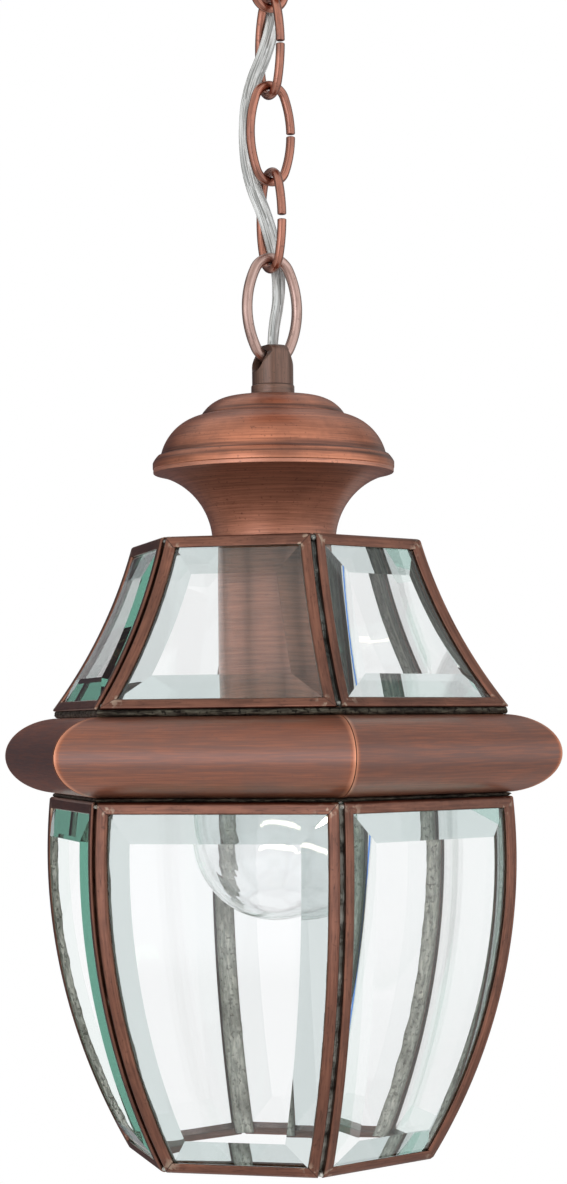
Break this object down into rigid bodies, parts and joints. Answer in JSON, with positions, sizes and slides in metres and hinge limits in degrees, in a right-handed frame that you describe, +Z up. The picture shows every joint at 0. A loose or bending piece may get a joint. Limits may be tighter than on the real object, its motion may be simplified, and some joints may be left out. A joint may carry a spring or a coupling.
{
  "type": "pendant light",
  "caption": "Hexagonal hanging lantern in antique copper with bent bevelled glass panels, on a chain with its cord from a ceiling canopy.",
  "frame": {"origin": "on the ceiling, in the middle of the mounting strap's slots, on the lantern's axis", "axes": "+Z up along the lantern's axis; a flat side of the hexagon faces -Y"},
  "size_m": [0.2028, 0.1758, 0.4888],
  "materials": {
    "antique_copper": "brushed antique copper under clear lacquer",
    "solder": "darkened solder, mottled",
    "panel_glass": "clear bevelled glass",
    "bulb_glass": "clear blown glass",
    "clear_cord": "clear flex over silver strands",
    "plated_steel": "zinc plated",
    "porcelain": "white glaze",
    "shell_brass": "plain",
    "filament": "lit"
  },
  "bodies": {
    "canopy": {"mounting_strap": "plated_steel", "canopy_nipple": "plated_steel", "canopy_locknut": "plated_steel", "ceiling_canopy": "antique_copper", "canopy_collar": "antique_copper", "canopy_loop": "antique_copper", "lamp_cord": "clear_cord"},
    "link_4": {"chain_link_4": "antique_copper"},
    "link_3": {"chain_link_3": "antique_copper"},
    "link_2": {"chain_link_2": "antique_copper"},
    "link_1": {"chain_link_1": "antique_copper"},
    "ring": {"hanging_ring": "antique_copper"},
    "lantern": {"belt_length_1": "antique_copper", "belt_length_2": "antique_copper", "belt_length_3": "antique_copper", "belt_length_4": "antique_copper", "belt_length_5": "antique_copper", "belt_length_6": "antique_copper", "body_bead": "solder", "body_frame_1": "antique_copper", "body_frame_2": "antique_copper", "body_frame_3": "antique_copper", "body_frame_4": "antique_copper", "body_frame_5": "antique_copper", "body_frame_6": "antique_copper", "body_glass_1": "panel_glass", "body_glass_2": "panel_glass", "body_glass_3": "panel_glass", "body_glass_4": "panel_glass", "body_glass_5": "panel_glass", "body_glass_6": "panel_glass", "body_seams": "solder", "bulb_base": "shell_brass", "bulb_filament": "filament", "bulb_glass": "bulb_glass", "bulb_stem": "bulb_glass", "cap_dome": "antique_copper", "lamp_socket": "porcelain", "lock_collar": "antique_copper", "loop_knuckle": "antique_copper", "neck_flare": "antique_copper", "roof_bead": "solder", "roof_frame_1": "antique_copper", "roof_frame_2": "antique_copper", "roof_frame_3": "antique_copper", "roof_frame_4": "antique_copper", "roof_frame_5": "antique_copper", "roof_frame_6": "antique_copper", "roof_glass_1": "panel_glass", "roof_glass_2": "panel_glass", "roof_glass_3": "panel_glass", "roof_glass_4": "panel_glass", "roof_glass_5": "panel_glass", "roof_glass_6": "panel_glass", "roof_plate": "antique_copper", "roof_seams": "solder", "socket_shell": "shell_brass", "socket_tube": "antique_copper", "stem_nipple": "plated_steel", "stem_nut": "plated_steel"}
  },
  "joints": [
    {"name": "link_4_swing", "type": "hinge", "parent": "canopy", "child": "link_4", "pos_m": [0, 0, -0.0545], "axis": [-0.682, 0.7314, 0], "range_deg": [-20, 20], "deforming": ["lamp_cord"]},
    {"name": "link_3_swing", "type": "hinge", "parent": "link_4", "child": "link_3", "pos_m": [0, 0, -0.085], "axis": [0.7314, 0.682, 0], "range_deg": [-20, 20], "deforming": ["lamp_cord"]},
    {"name": "link_2_swing", "type": "hinge", "parent": "link_3", "child": "link_2", "pos_m": [0, 0, -0.1161], "axis": [-0.682, 0.7314, 0], "range_deg": [-20, 20], "deforming": ["lamp_cord"]},
    {"name": "link_1_swing", "type": "hinge", "parent": "link_2", "child": "link_1", "pos_m": [0, 0, -0.1472], "axis": [0.7314, 0.682, 0], "range_deg": [-20, 20], "deforming": ["lamp_cord"]},
    {"name": "ring_swing", "type": "hinge", "parent": "link_1", "child": "ring", "pos_m": [0, 0, -0.1783], "axis": [-0.682, 0.7314, 0], "range_deg": [-20, 20], "deforming": ["lamp_cord"]},
    {"name": "lantern_swing", "type": "hinge", "parent": "ring", "child": "lantern", "pos_m": [0, 0, -0.2106], "axis": [0.7314, 0.682, 0], "range_deg": [-25, 25], "deforming": ["lamp_cord"]}
  ]
}
